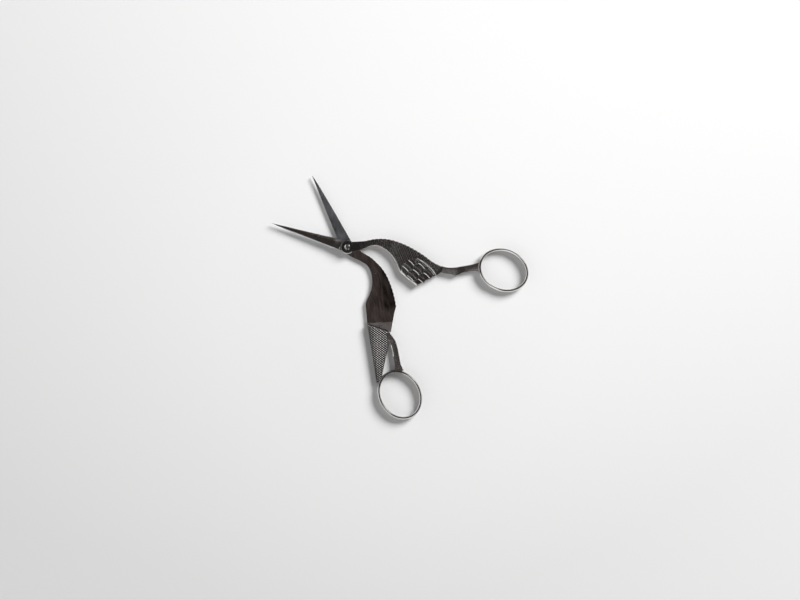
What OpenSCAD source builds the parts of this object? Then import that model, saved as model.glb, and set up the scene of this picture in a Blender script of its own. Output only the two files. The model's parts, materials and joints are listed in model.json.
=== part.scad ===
// Stork embroidery scissors: two forged steel halves, lapped over each other on a slotted pivot screw.
// Both halves are drawn closed, beak along +Y, as seen from the front, and then opened about the screw.
// A half is drawn with its flat inner face on z = 0 and its outer face upwards.

/* [Blades] */
// Length of each blade, from the pivot to the tip
blade_l = 35; // [26:0.5:45]
// Width of each blade at the heel
blade_w = 5.3; // [4:0.1:6]
// Thickness of each blade at the heel
blade_t = 1.5; // [1:0.05:1.8]
// Thickness of each blade at the tip
blade_tip_t = 0.5; // [0.3:0.05:0.9]
// Width of the fine bevel along the cutting edge
bevel_w = 0.25; // [0.15:0.05:0.6]
// Width of the ground facet behind that bevel, at the heel
facet_w = 1.1; // [0.6:0.1:1.4]
// Width of the slope along the spine
spine_w = 0.4; // [0.2:0.1:1.4]
// Thickness left along the cutting edge
edge_t = 0.14; // [0.08:0.01:0.3]

/* [Pivot] */
// Thickness of each half at the pivot
half_t = 1.9; // [1.6:0.05:2.6]
// Diameter of the round boss about the pivot
boss_d = 6.2; // [5.4:0.1:8]
// Rounding of the boss's rim
boss_rim = 0.5; // [0.2:0.05:0.6]
// Diameter of the recess round the screw's head
recess_d = 4.9; // [3.6:0.1:5.2]
// Depth of that recess
recess_h = 0.5; // [0.2:0.05:0.7]
// Diameter of the screw's shank
screw_d = 1.8; // [1.2:0.1:2.4]
// Diameter of the screw's head
head_d = 2.7; // [2.6:0.1:3.4]
// Height of the screw's domed head
head_h = 0.65; // [0.4:0.05:0.9]
// Width of the screw's slot
slot_w = 0.45; // [0.3:0.05:0.7]
// Depth of the screw's slot
slot_h = 0.35; // [0.2:0.05:0.5]
// Direction of the slot
slot_turn = 41; // [0:1:179]

/* [Bird] */
// Distance from the pivot to the hip, where the leg leaves the body
body_l = 43; // [38:0.5:48]
// Reach of the bird's back on the front half, to one side of the blades
front_back_x = 8.9; // [8:0.1:10.5]
// Reach of the bird's back on the back half
rear_back_x = 9.5; // [8:0.1:10.5]
// Depth of the throat's curve past the line of the blades
throat_x = 4.5; // [3.5:0.1:5]
// Distance from the pivot to the tip of the wing
wing_l = 34.4; // [32:0.2:36]
// Reach of the wing's tip to the other side
wing_x = 7.2; // [6:0.1:8.4]
// Thickness of the body's rim at its outline
rim_t = 1.2; // [0.8:0.05:1.3]
// Height of the wing above the body
wing_lift = 0.2; // [0.1:0.05:0.3]
// Width of a wing feather
feather_w = 3.3; // [2.8:0.1:4]
// Length of a wing feather
feather_l = 4.5; // [3.8:0.1:5.5]
// Height of a feather's tip above its root
feather_rise = 0.22; // [0.1:0.02:0.3]

/* [Legs and tail] */
// Width of each leg
leg_w = 2.4; // [1.8:0.1:2.8]
// Bend of the front half's leg at the knee
front_bend = 1.2; // [0.4:0.1:1.8]
// Bend of the back half's leg at the knee
back_bend = 0.9; // [0.4:0.1:1.4]
// Bulge of the front half's knee, on its inner side
front_knee = 0.9; // [0:0.1:1.2]
// Widening of each leg where its foot meets the ring
foot_flare = 0.9; // [0.4:0.1:1.4]
// Depth of the legs and tail past the flat inner face
lap_t = 1.35; // [1:0.05:1.6]
// Thickness of the tail on its outer side
tail_t = 1.45; // [1:0.05:1.6]

/* [Finger rings] */
// Distance from the pivot to the far end of the rings
handle_l = 80; // [74:0.5:90]
// Length of each ring, over its outside
ring_l = 22.8; // [20:0.2:25]
// Width of each ring, over its outside
ring_w = 18.8; // [16:0.2:21]
// Thickness of a ring's wall, across the hole
ring_wall = 1.3; // [1:0.05:1.8]
// Height of a ring, along the pivot
ring_h = 3.8; // [3:0.1:4.6]
// Lean of the front half's ring
front_lean = 5.5; // [2:0.5:14]
// Lean of the back half's ring
back_lean = 3.5; // [2:0.5:14]

/* [Fits and pose] */
// Gap between the halves' flat inner faces
slide_gap = 0.08; // [0.07:0.01:0.15]
// Gap between the halves' steps when closed
seat_gap = 0.18; // [0.12:0.02:0.3]
// Gap between the two rings when closed
ring_gap = 0.4; // [0.3:0.05:1]
// Gap round the screw in the front half, on the radius
turn_gap = 0.06; // [0.05:0.01:0.1]
// Gap round the screw in the back half, on the radius
thread_gap = 0.02; // [0.02:0.01:0.05]
// Angle between the two halves at rest
open_angle = 46.1; // [6:0.1:120]

/* [Hidden] */
// Distance between rows of points down the body, and the steps across it
row_step = 0.8;
body_steps = 26;
// Rows along a leg and the tail, steps across them, and places round a ring
limb_rows = 18;
limb_steps = 6;
ring_places = 56;
fine = 64;
past = 10;

// Height of the plane in which the halves slide, with the lowest piece on z = 0
slide_z = max(half_t, ring_h / 2);
inner = slide_gap / 2;
// The body's crown stays just under the boss, so that the part rests on the boss and the rings
crown = half_t - wing_lift - feather_rise - 0.05;
// The tail and the thigh are thinner at their rims than the body
limb_rim = 0.6 * rim_t;

// Outlines as [distance below the pivot, reach across], each smooth through its points
function back_line(back_x) = [
    for (p = [[0, 0.27], [0.155, 0.56], [0.25, 0.8], [0.345, 0.95], [0.45, 1.005], [0.6, 0.95],
              [0.77, 0.765], [0.88, 0.58], [0.94, 0.53], [1, 0.505]])
        [p[0] * body_l, p[1] * back_x]
];
front_line = back_line(front_back_x);
rear_line = back_line(rear_back_x);
throat_line = [
    for (p = [[0.03, -0.55], [0.145, 0], [0.24, 0.58], [0.32, 0.93], [0.385, 1], [0.475, 0.87],
              [0.58, 0.49], [0.657, 0], [0.74, -0.76], [0.773, -0.93]])
        [p[0] * wing_l, p[1] * throat_x]
];
// The wing's front edge runs straight from this corner of the throat to its tip
wing_corner = throat_line[len(throat_line) - 1];
wing_tip = [wing_l, -wing_x];
// The feathers' tips run from the wing's tip to here, and the hip's short edge from here to the leg
wing_end = [body_l - 1.8, -0.03 * wing_x];
hip = [body_l, front_line[len(front_line) - 1][1] - 0.85 * leg_w];
feather_tips = 3;
tip_notch = 0.45;

// Where each half's step crosses the bodies, as plan points of the closed scissors
back_step = [
    [wing_tip[1] - 0.1, -wing_tip[0] - seat_gap],
    [wing_end[1] + 0.3, -wing_end[0] - 1.1]
];
lap_top = 0.77 * body_l;
front_step = [
    [reach(rear_line, lap_top) + seat_gap, -lap_top],
    [hip[1] - 1.5, -hip[0] + 1]
];

// Position of a finger ring, its centre worked out from where it ends and where it meets the other
function ring_half_x(lean) = norm([ring_l / 2 * sin(lean), ring_w / 2 * cos(lean)]);
function ring_half_y(lean) = norm([ring_l / 2 * cos(lean), ring_w / 2 * sin(lean)]);
ring_meet_x = 1.4;
front_ring = [ring_meet_x + ring_gap / 2 + ring_half_x(front_lean), -handle_l + ring_half_y(front_lean)];
back_ring = [ring_meet_x - ring_gap / 2 - ring_half_x(back_lean), -handle_l + ring_half_y(back_lean)];

// A point of a ring's middle line, by its angle from the ring's far end; a lean tips its top towards +X
function ring_point(centre, lean, angle, grow = 0) =
    let (
        along = (ring_l - ring_wall) / 2 * cos(angle) + grow * cos(angle),
        across = (ring_w - ring_wall) / 2 * sin(angle) + grow * sin(angle)
    )
    centre + [along * sin(lean) + across * cos(lean), along * cos(lean) - across * sin(lean)];

// Slope of an outline at one of its points, and the outline's reach at a distance
function slope(line, i) =
    let (a = max(i - 1, 0), b = min(i + 1, len(line) - 1))
    (line[b][1] - line[a][1]) / (line[b][0] - line[a][0]);
function reach(line, d) =
    let (
        i = max([for (k = [0:len(line) - 2]) if (k == 0 || line[k][0] <= d) k]),
        a = line[i],
        b = line[i + 1],
        w = b[0] - a[0],
        t = min(max((d - a[0]) / w, 0), 1)
    )
    a[1] * (2 * t ^ 3 - 3 * t ^ 2 + 1) + b[1] * (3 * t ^ 2 - 2 * t ^ 3)
    + w * (slope(line, i) * (t ^ 3 - 2 * t ^ 2 + t) + slope(line, i + 1) * (t ^ 3 - t ^ 2));

// Straight reach between two points of an outline
function straight(a, b, d) = a[1] + (b[1] - a[1]) * (d - a[0]) / (b[0] - a[0]);

// The body's near outline: throat, wing front, feather tips and hip edge
function near_side(d) =
    d < wing_corner[0] ? reach(throat_line, d)
    : d < wing_tip[0] ? straight(wing_corner, wing_tip, d)
    : d < wing_end[0]
        ? straight(wing_tip, wing_end, d)
            + tip_notch * abs(sin(180 * feather_tips * (d - wing_tip[0]) / (wing_end[0] - wing_tip[0])))
    : straight(wing_end, hip, d);

// The far outline of the front half's body, and the back half's, which stops at the front half's step
function far_side(d) = reach(front_line, d);
function step_side(d) =
    min(reach(rear_line, d),
        straight([-front_step[0].y, front_step[0].x], [-front_step[1].y, front_step[1].x], d) - 1.2 * seat_gap);

// Relief of the wing: overlapping rows of feathers, each thickest at its rounded tip
wing_turn = 24.8;
wing_root = [0.6 * body_l - 0.3, -1];
wing_reach = 7.6;
function feather_tip(row, t) =
    let (f = (t - 0.3 + 0.36 * row * feather_w) / feather_w)
    (row + 1) * feather_l - 0.9 * (2 * (f - floor(f)) - 1) ^ 2;
function relief(x, d) =
    let (
        down = d - wing_root[0],
        right = x - wing_root[1],
        s = down * cos(wing_turn) - right * sin(wing_turn),
        t = down * sin(wing_turn) + right * cos(wing_turn),
        start = 0.085 * (t - 2.1) ^ 2 - 0.4,
        inside = min(max((s - start) / 0.8, 0), 1) * min(max((wing_reach - t) / 0.8, 0), 1),
        tips = [for (row = [0:4]) if (s < feather_tip(row, t)) feather_tip(row, t)],
        part = len(tips) > 0 ? 1 - (tips[0] - s) / feather_l : 0
    )
    inside * (wing_lift + feather_rise * min(max(part, 0), 1));

// Closed skin over rows of points, each row a loop of as many points
module skin(rows, ring = false) {
    n = len(rows[0]);
    m = len(rows);
    sides = [
        for (i = [0:ring ? m - 1 : m - 2], j = [0:n - 1])
            let (k = (j + 1) % n, next = (i + 1) % m)
            each [[i * n + j, i * n + k, next * n + k], [i * n + j, next * n + k, next * n + j]]
    ];
    ends = ring ? [] : [[for (j = [n - 1:-1:0]) j], [for (j = [0:n - 1]) (m - 1) * n + j]];
    polyhedron(points = [for (row = rows) each row], faces = concat(sides, ends), convexity = 8);
}

// Points of a domed face from plan point a to plan point b, from the rim up to the crown
function dome(a, b, rim, top, steps) = [
    for (j = [0:steps])
        let (p = a + (b - a) * (1 - cos(180 * j / steps)) / 2)
        [p.x, p.y, rim + (top - rim) * sin(180 * j / steps)]
];
function under(points) = [for (p = points) [p.x, p.y, -p.z]];

// A blade: a flat inner face, and outside a face that falls from the spine to a ridge, a ground facet from
// the ridge towards the edge, and the fine bevel of the cutting edge
module blade(edge_side) {
    heel = 1;
    rows = 22;
    skin([
        for (i = [0:rows])
            let (
                s = (i / rows) ^ 0.8,
                y = heel + (blade_l - heel) * s,
                left = (blade_l - y) / (blade_l - heel),
                edge = max(blade_w / 2 * left ^ 0.9, 0.12),
                spine = max(blade_w / 2 * left ^ 0.7, 0.12),
                top = blade_t + (blade_tip_t - blade_t) * s,
                bevel = edge - min(bevel_w, edge * 0.3),
                ridge = bevel - min(facet_w * max(left, 0.05) ^ 0.6, edge * 0.6),
                row = [
                    [edge, inner], [edge, edge_t], [bevel, top * 0.55], [ridge, top * 0.75],
                    [min(spine_w, spine * 0.6) - spine, top], [-spine, top * 0.55], [-spine, inner]
                ]
            )
            [for (p = edge_side > 0 ? row : [for (k = [6:-1:0]) [-row[k].x, row[k].y]]) [p.x, y, p.y]]
    ]);
}

// Round boss about the pivot, with a rounded rim
module boss() {
    turns = 6;
    rotate_extrude($fn = fine)
        polygon(concat(
            [[0, inner], [boss_d / 2, inner]],
            [for (k = [0:turns]) [boss_d / 2 - boss_rim * (1 - cos(90 * k / turns)),
                                  half_t - boss_rim * (1 - sin(90 * k / turns))]],
            [[0, half_t]]
        ));
}

// The bird's neck, body and wing on one half, flat inside and domed with feather relief outside
module body(back) {
    first = 1;
    last = back ? body_l - 1 : body_l;
    rows = round((last - first) / row_step);
    skin([
        for (i = [0:rows])
            let (
                d = first + (last - first) * i / rows,
                a = [back ? near_side(min(d, wing_end[0])) : near_side(d), -d],
                b = [back ? step_side(d) : far_side(d), -d],
                face = [for (p = dome(a, b, rim_t, crown, body_steps)) p + [0, 0, relief(p.x, d)]]
            )
            concat(face, [[b.x, -d, inner], [a.x, -d, inner]])
    ]);
}

// Leg swept along its bent middle line from the hip to the ring, of full thickness
module leg(from, to, bend, knee = 0) {
    // The bend is greatest a third of the way down, at the knee
    function middle(s) = from + (to - from) * s + [bend * 6.75 * s * (1 - s) ^ 2, 0];
    skin([
        for (i = [0:limb_rows])
            let (
                s = i / limb_rows,
                way = middle(s + 0.01) - middle(s - 0.01),
                side = [-way.y, way.x] / norm(way),
                flare = max((s - 0.75) / 0.25, 0) ^ 2,
                half = leg_w / 2 + flare * foot_flare,
                bulge = knee * exp(-((s - 0.4) / 0.1) ^ 2),
                a = middle(s) - side * (half + bulge),
                b = middle(s) + side * half
            )
            concat(
                dome(a, b, 0.3, lap_t, limb_steps),
                under(dome(b, a, 0.3, lap_t, limb_steps))
            )
    ]);
}

// Finger ring: a band with rounded edges swept round a leaning oval
module ring(centre, lean) {
    wall = ring_wall / 2;
    high = ring_h / 2;
    band = [
        [1, -0.6], [1, 0.6], [0.82, 0.85], [0.4, 1], [-0.4, 1], [-0.82, 0.85],
        [-1, 0.6], [-1, -0.6], [-0.82, -0.85], [-0.4, -1], [0.4, -1], [0.82, -0.85]
    ];
    skin([
        for (i = [0:ring_places - 1])
            let (
                angle = -360 * i / ring_places,
                here = ring_point(centre, lean, angle),
                out = ring_point(centre, lean, angle, 1) - here
            )
            [for (p = band) [here.x + out.x * p.x * wall, here.y + out.y * p.x * wall, p.y * high]]
    ], ring = true);
}

// The thigh of the front half: what lies past its step has full thickness
module thigh() {
    rows = 12;
    skin([
        for (i = [0:rows])
            let (
                d = lap_top - 0.5 + (body_l - lap_top + 0.5) * i / rows,
                a = [near_side(d), -d],
                b = [far_side(d), -d]
            )
            concat([[a.x, a.y, limb_rim], [b.x, b.y, limb_rim]], under(dome(b, a, limb_rim / 2, lap_t, limb_steps)))
    ]);
}

// The tail of the back half: full thickness from its step down to the ring
module tail() {
    root = 1.6;
    inward = [back_step[1].y - back_step[0].y, back_step[0].x - back_step[1].x];
    shift = -inward / norm(inward) * root;
    outer_end = ring_point(back_ring, -back_lean, -39, 1.2);
    inner_end = ring_point(back_ring, -back_lean, -26);
    fork = [-3, -body_l - 3.8];
    outer_line = [back_step[0] + shift, back_step[0], outer_end];
    inner_line = [back_step[1] + shift, back_step[1], fork, inner_end];
    function outer_at(s) = outer_line[1] + (outer_end - outer_line[1]) * s;
    function inner_at(s) =
        s < 0.25 ? inner_line[1] + (fork - inner_line[1]) * s / 0.25 : fork + (inner_end - fork) * (s - 0.25) / 0.75;
    function row(a, b) = concat(
        dome(a, b, limb_rim, tail_t, 2 * limb_steps),
        under(dome(b, a, limb_rim, lap_t, 2 * limb_steps))
    );
    skin(concat(
        [row(outer_line[0], inner_line[0])],
        [for (i = [0:limb_rows]) row(outer_at(i / limb_rows), inner_at(i / limb_rows))]
    ));
}

// Room for the other half's body, cut from this half's inner side down to its step
module lap_room(step) {
    wide = 3 * rear_back_x;
    translate([0, 0, inner - past])
        linear_extrude(past)
            polygon([
                [-wide, past], [wide, past], [wide, step[0].x > 0 ? step[0].y : step[1].y],
                each (step[0].x > 0 ? step : [step[1], step[0]]),
                [-wide, step[0].x > 0 ? step[1].y : step[0].y]
            ]);
}

// Bore for the screw, with the recess for its head
module bore(gap, deep) {
    translate([0, 0, -past])
        cylinder(d = screw_d + 2 * gap, h = 2 * past, $fn = fine);
    if (deep > 0)
        translate([0, 0, half_t - deep])
            cylinder(d = recess_d, h = past, $fn = fine);
}

module front_half() {
    foot = ring_point(front_ring, front_lean, -17.5);
    color([0.56, 0.54, 0.53])
        rotate([0, 0, open_angle / 2])
            translate([0, 0, slide_z])
                difference() {
                    union() {
                        blade(1);
                        boss();
                        body(false);
                        thigh();
                        leg([hip[1] + 0.4 * leg_w, -hip[0] + 1], foot, -front_bend, front_knee);
                        ring(front_ring, front_lean);
                    }
                    lap_room(front_step);
                    bore(turn_gap, recess_h);
                }
}

module back_half() {
    foot = ring_point(back_ring, -back_lean, 33);
    color([0.48, 0.47, 0.47])
        rotate([0, 0, -open_angle / 2])
            translate([0, 0, slide_z])
                mirror([0, 0, 1])
                    difference() {
                        union() {
                            blade(-1);
                            boss();
                            body(true);
                            tail();
                            leg([-1, -body_l + 1], foot, back_bend);
                            ring(back_ring, -back_lean);
                        }
                        lap_room(back_step);
                        bore(thread_gap, 0);
                    }
}

// Slotted screw: its shank turns in the front half and is threaded into the back half
module pivot_screw() {
    under_head = slide_z + half_t - recess_h + 0.05;
    foot_z = slide_z - half_t;
    arc = 6;
    color([0.72, 0.72, 0.71])
        difference() {
            rotate_extrude($fn = fine)
                polygon(concat(
                    [[0, foot_z], [screw_d / 2, foot_z], [screw_d / 2, under_head], [head_d / 2, under_head]],
                    [for (k = [0:arc]) [head_d / 2 * cos(90 * k / arc), under_head + head_h * (0.35 + 0.65 * sin(90 * k / arc))]]
                ));
            translate([0, 0, under_head + head_h - slot_h + past / 2])
                rotate([0, 0, slot_turn])
                    cube([past, slot_w, past], center = true);
        }
}

back_half();
front_half();
pivot_screw();
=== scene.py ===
import json
import math
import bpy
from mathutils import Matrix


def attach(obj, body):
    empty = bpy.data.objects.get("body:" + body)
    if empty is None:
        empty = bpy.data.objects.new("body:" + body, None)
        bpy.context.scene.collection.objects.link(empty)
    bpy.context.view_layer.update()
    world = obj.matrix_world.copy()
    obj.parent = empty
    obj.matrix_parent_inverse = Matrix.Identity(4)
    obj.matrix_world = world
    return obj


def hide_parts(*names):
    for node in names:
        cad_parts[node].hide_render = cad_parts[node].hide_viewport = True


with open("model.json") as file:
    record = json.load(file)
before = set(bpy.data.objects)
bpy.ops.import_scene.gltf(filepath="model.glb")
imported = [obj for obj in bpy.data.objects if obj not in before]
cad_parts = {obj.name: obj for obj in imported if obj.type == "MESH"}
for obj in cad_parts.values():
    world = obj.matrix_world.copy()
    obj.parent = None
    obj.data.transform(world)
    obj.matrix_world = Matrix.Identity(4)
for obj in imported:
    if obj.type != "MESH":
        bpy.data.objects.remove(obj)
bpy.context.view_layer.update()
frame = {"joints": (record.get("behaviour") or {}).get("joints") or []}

from types import SimpleNamespace

import bpy
import numpy as np
from bpy.props import FloatProperty, FloatVectorProperty, PointerProperty
from mathutils import Matrix, Vector

bl_info = {
    "name": "Stork Embroidery Scissors",
    "version": (1, 0, 0),
    "blender": (4, 5, 0),
    "location": "3D View > Sidebar > Stork Scissors",
    "description": "Dresses the packed stork scissors with forged, feathered and knurled steel",
    "category": "Add Mesh",
}

# The height of the plane the halves slide in, from the model's first joint
SLIDE_HEIGHT = frame["joints"][0]["pos_m"][2]

HALVES = ("front", "back")
BODY = {"front": "front_body", "back": "back_body", "screw": "back_body"}
NODE = {"front": "front_half", "back": "back_half", "screw": "pivot_screw"}

# The relief's heights, depths and widths in millimetres, and its rows of feathers
QUILL_HEIGHT = 0.27
DITCH_DEPTH = 0.16
FEATHER_GROOVE = 0.15
SHAFT_HEIGHT = 0.06
BARB_HEIGHT, BARB_PITCH = 0.006, 0.7
SCALE_EDGE = 0.16
FEATHER_ROWS = 5
KNURL_DEPTH = 0.14
TOOTH_HEIGHT = 0.16
NOTCH_DEPTH, NOTCH_REACH = 0.14, 0.14

# Where pieces meet, in millimetres: the two notches beside the boss, how far blades and necks stay below the
# boss's top and its recess's floor, and how far the screw's head sits above that floor
NOTCHES = (3.35, 2.55)
BOSS_STEP = 0.03
RECESS_CLEAR = 0.05
HEAD_CLEAR = 0.05

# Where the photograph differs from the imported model, in millimetres: how much wider a leg is on each side, how
# far the leg is moved across, and how much further out the back half's back and neck reach
LEG_EXTRA = {"front": 0.22, "back": 0.15}
LEG_SHIFT = {"front": 0, "back": 0.35}
BACK_EXTRA, NECK_EXTRA = 0.34, 0.4

# Heights of the steel's bump, and the sizes of its marks, in metres
LINE_HEIGHT, SCRATCH_DEPTH, WAVE_HEIGHT = 0.0000022, 0.0000012, 0.0001
SMUDGE_SIZE, STREAK_SIZE = 0.005, 0.0014
LINES_PER_METRE = 7000.0

# The picture's up direction and its centre on the floor, in the shared frame
PHOTO_TURN = math.radians(-49.35)
PHOTO_CENTRE = (-0.0026, -0.0328)


# Settings

def level(name, description, default, low=0, **kind):
    """A plain setting from low up."""
    return FloatProperty(name=name, description=description, default=default, min=low, **kind)


def length(name, description, default):
    """A length setting in metres."""
    return level(name, description, default, precision=5, subtype="DISTANCE", unit="LENGTH")


def share(name, description, default):
    """A plain setting from 0 to 1."""
    return level(name, description, default, max=1, subtype="FACTOR")


def angle(name, description, degrees):
    """An angle setting, given in degrees."""
    turn = math.radians(degrees)
    return FloatProperty(name=name, description=description, default=turn, subtype="ANGLE", unit="ROTATION")


def colour(name, description, default):
    """A colour setting, in linear values."""
    return FloatVectorProperty(
        name=name, description=description, default=default, min=0, max=1, size=3, subtype="COLOR"
    )


class StorkSizes(bpy.types.PropertyGroup):
    """Sizes of the scissors."""

    blade_length: length("Blade length", "From the pivot to the tip", 0.035)
    blade_width: length("Blade width", "Across the heel", 0.0053)
    blade_heel: length("Heel thickness", "Thickness of a blade at its heel", 0.0015)
    blade_tip: length("Tip thickness", "Thickness of a blade at its tip", 0.0005)
    bevel: length("Bevel width", "Width of the fine bevel along the cutting edge", 0.00025)
    facet: length("Facet width", "Width of the ground facet behind that bevel, at the heel", 0.0011)
    spine: length("Spine width", "Width of the slope along the spine", 0.0004)
    edge: length("Edge thickness", "Thickness left along the cutting edge", 0.00014)
    half: length("Half thickness", "Thickness of each half at the pivot", 0.0019)
    boss: length("Boss diameter", "Diameter of the round boss about the pivot", 0.0062)
    boss_rounding: length("Boss rounding", "Rounding of the boss's rim", 0.0005)
    recess: length("Recess diameter", "Diameter of the recess round the screw's head", 0.0049)
    recess_depth: length("Recess depth", "Depth of that recess", 0.0005)
    screw: length("Screw diameter", "Diameter of the screw's shank", 0.0018)
    head: length("Head diameter", "Diameter of the screw's head", 0.0027)
    head_height: length("Head height", "Height of the screw's domed head", 0.00065)
    slot: length("Slot width", "Width of the screw's slot", 0.00045)
    slot_depth: length("Slot depth", "Depth of the screw's slot", 0.00035)
    turn_gap: length("Turning gap", "Gap round the screw in the front half", 0.00006)
    body_length: length("Body length", "From the pivot to the hip", 0.043)
    front_back: length("Front back", "Reach of the bird's back on the front half", 0.0089)
    rear_back: length("Rear back", "Reach of the bird's back on the back half", 0.0095)
    throat: length("Throat depth", "Depth of the throat's curve", 0.0045)
    wing_length: length("Wing length", "From the pivot to the tip of the wing", 0.0344)
    wing_reach: length("Wing reach", "Reach of the wing's tip to the other side", 0.0072)
    rim: length("Rim thickness", "Thickness of the body's rim", 0.0012)
    wing_lift: length("Wing lift", "Height of the wing above the body", 0.0002)
    feather_width: length("Feather width", "Width of a wing feather", 0.00365)
    feather_length: length("Feather length", "Length of a wing feather", 0.0045)
    feather_rise: length("Feather rise", "Height of a feather's tip above its root", 0.00014)
    scale_length: length("Scale length", "Length of two rows of scales on the body", 0.00186)
    scale_width: length("Scale width", "Distance between scales in a row", 0.0016)
    scale_rise: length("Scale rise", "Height of a scale's tip above its root", 0.00009)
    knurl: length("Knurl pitch", "Distance between the grooves of the knurled tail", 0.0008)
    leg: length("Leg width", "Width of each leg", 0.0024)
    front_bend: length("Front knee", "Bend of the front half's leg", 0.0012)
    back_bend: length("Back knee", "Bend of the back half's leg", 0.0009)
    knee: length("Knee", "Bulge of the front half's knee on its inner side", 0.0009)
    foot: length("Foot flare", "Widening of a leg where it meets its ring", 0.0009)
    lap: length("Lap", "Depth of the legs past the flat inner face", 0.00135)
    tail: length("Tail thickness", "Thickness of the tail on its outer side", 0.00145)
    handle: length("Handle length", "From the pivot to the far end of the rings", 0.080)
    ring_length: length("Ring length", "Length of a finger ring over its outside", 0.0228)
    ring_width: length("Ring width", "Width of a finger ring over its outside", 0.0188)
    ring_wall: length("Ring wall", "Thickness of a ring's wall", 0.0013)
    ring_height: length("Ring height", "Height of a ring", 0.0038)
    slide_gap: length("Sliding gap", "Gap between the halves' inner faces", 0.00008)
    seat_gap: length("Seat gap", "Gap between the halves' steps when closed", 0.00018)
    ring_gap: length("Ring gap", "Gap between the rings when closed", 0.0004)
    front_lean: angle("Front ring lean", "Lean of the front half's ring", 5.5)
    back_lean: angle("Back ring lean", "Lean of the back half's ring", 3.5)
    opening: angle("Opening", "Angle between the halves at rest", 46.1)
    slot_turn: angle("Slot direction", "Direction of the screw's slot", 41)


class StorkFinish(bpy.types.PropertyGroup):
    """Colours and wear of the steel."""

    steel: colour("Steel", "Clean polished steel", (0.62, 0.61, 0.6))
    flat: colour("Flat steel", "Brownish steel of the flat inner faces", (0.645, 0.58, 0.555))
    ground: colour("Ground steel", "Bluish steel of the blades' ground inner faces", (0.56, 0.6, 0.65))
    screw: colour("Screw steel", "Brighter steel of the screw", (0.6, 0.6, 0.59))
    # The tarnish colour also paints shade: through the film mark it darkens the boss's rim, the rings where the
    # legs run in, the screw's slot and one side of its head, and one side of each knurl point.
    tarnish: colour("Tarnish", "Dark film left in the hollows of the relief", (0.035, 0.03, 0.028))
    blade_roughness: share("Blade roughness", "Roughness of the blades' outer faces", 0.12)
    flat_roughness: share("Inner roughness", "Roughness of the flat inner faces", 0.1)
    body_roughness: share("Body roughness", "Roughness of the feathered body", 0.13)
    ring_roughness: share("Ring roughness", "Roughness of the polished rings", 0.08)


class StorkStage(bpy.types.PropertyGroup):
    """The floor, lights and camera."""

    floor: colour("Floor", "Pale floor", (0.86, 0.86, 0.86))
    key: level("Key light", "Power of the soft key light", 42, subtype="POWER", unit="POWER")
    panel: level("Soft panel", "Brightness of the panel seen round the key light in reflections", 3.5)
    key_size: length("Key size", "Diameter of the key light", 0.94)
    key_distance: length("Key distance", "From the middle of the picture to the key light", 1.75)
    key_azimuth: angle("Key azimuth", "Direction of the key light, up from the picture's right", 42)
    key_elevation: angle("Key elevation", "Height of the key light above the floor", 38)
    far_wall: level("Far wall", "Brightness of the room opposite the lamp", 1.25)
    near_wall: level("Near wall", "Brightness of the room on the lamp's side", 0.28)
    fill: share("Fill", "Share of the room's light that falls on the floor", 0.53)
    lean: angle("Ceiling lean", "Lean of the dark ceiling towards the lamp", 18)
    ceiling: colour("Ceiling", "Colour of the room overhead", (0.051, 0.043, 0.041))
    view_width: length("View width", "Width of floor across the picture", 0.3538)
    lens: level("Lens", "Focal length of the camera", 85, low=10, subtype="DISTANCE_CAMERA")


def millimetres(group):
    """All lengths of a settings group in millimetres, and its angles in radians."""
    return SimpleNamespace(**{
        prop.identifier: (1000 if prop.unit == "LENGTH" else 1) * getattr(group, prop.identifier)
        for prop in group.bl_rna.properties if prop.identifier in group.__annotations__
    })


# Curves

def smooth(x):
    """0 below 0, 1 above 1, and the cubic 3x² - 2x³ between."""
    x = np.clip(x, 0, 1)
    return x * x * (3 - 2 * x)


def ramp(x, start, wide):
    """Smooth step from 0 at start to 1 at start + wide; wide may be negative."""
    return smooth((x - start) / wide)


def hill(x, middle, reach):
    """1 in the middle, falling off to both sides as exp(-d²), where d is the distance over the reach."""
    return np.exp(-(((x - middle) / reach) ** 2))


def through(line, at):
    """Smooth curve through a line's points: a cubic in each gap, its slopes taken between the neighbours."""
    x, y = line[:, 0], line[:, 1]
    places = np.arange(len(x))
    before, after = np.maximum(places - 1, 0), np.minimum(places + 1, len(x) - 1)
    slope = (y[after] - y[before]) / (x[after] - x[before])
    i = np.clip(np.searchsorted(x, at, side="right") - 1, 0, len(x) - 2)
    wide = x[i + 1] - x[i]
    t = np.clip((at - x[i]) / wide, 0, 1)
    start, end = y[i] * (2 * t**3 - 3 * t**2 + 1), y[i + 1] * (3 * t**2 - 2 * t**3)
    return start + end + wide * (slope[i] * (t**3 - 2 * t**2 + t) + slope[i + 1] * (t**3 - t**2))


def straight(a, b, at):
    """Reach along the straight line from point a to point b."""
    return a[1] + (b[1] - a[1]) * (at - a[0]) / (b[0] - a[0])


def rotated(x, y, turn):
    """x and y turned about the origin."""
    c, s = math.cos(turn), math.sin(turn)
    return c * x - s * y, s * x + c * y


def from_middle(turn, middle):
    """Angle measured from a middle one, between half a turn either way."""
    return np.mod(turn - middle + math.pi, 2 * math.pi) - math.pi


def spread(count, ease):
    """Places from 0 to 1 across a surface, drawn to both ends by the share ease of a cosine."""
    u = np.linspace(0, 1, count)[None]
    return (1 - ease) * u + ease * (1 - np.cos(math.pi * u)) / 2


# Outlines of the closed bird: shares of the length below the pivot and of the reach across
BACK_SHARES = np.array([
    [0, 0.27], [0.155, 0.56], [0.25, 0.8], [0.345, 0.95], [0.45, 1.005],
    [0.6, 0.95], [0.77, 0.765], [0.88, 0.58], [0.94, 0.53], [1, 0.505],
])
THROAT_SHARES = np.array([
    [0.03, -0.55], [0.145, 0], [0.24, 0.58], [0.32, 0.93], [0.385, 1],
    [0.475, 0.87], [0.58, 0.49], [0.657, 0], [0.74, -0.76], [0.773, -0.93],
])
LAP_SHARE = 0.77
RINGS_MEET = 1.4


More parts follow.
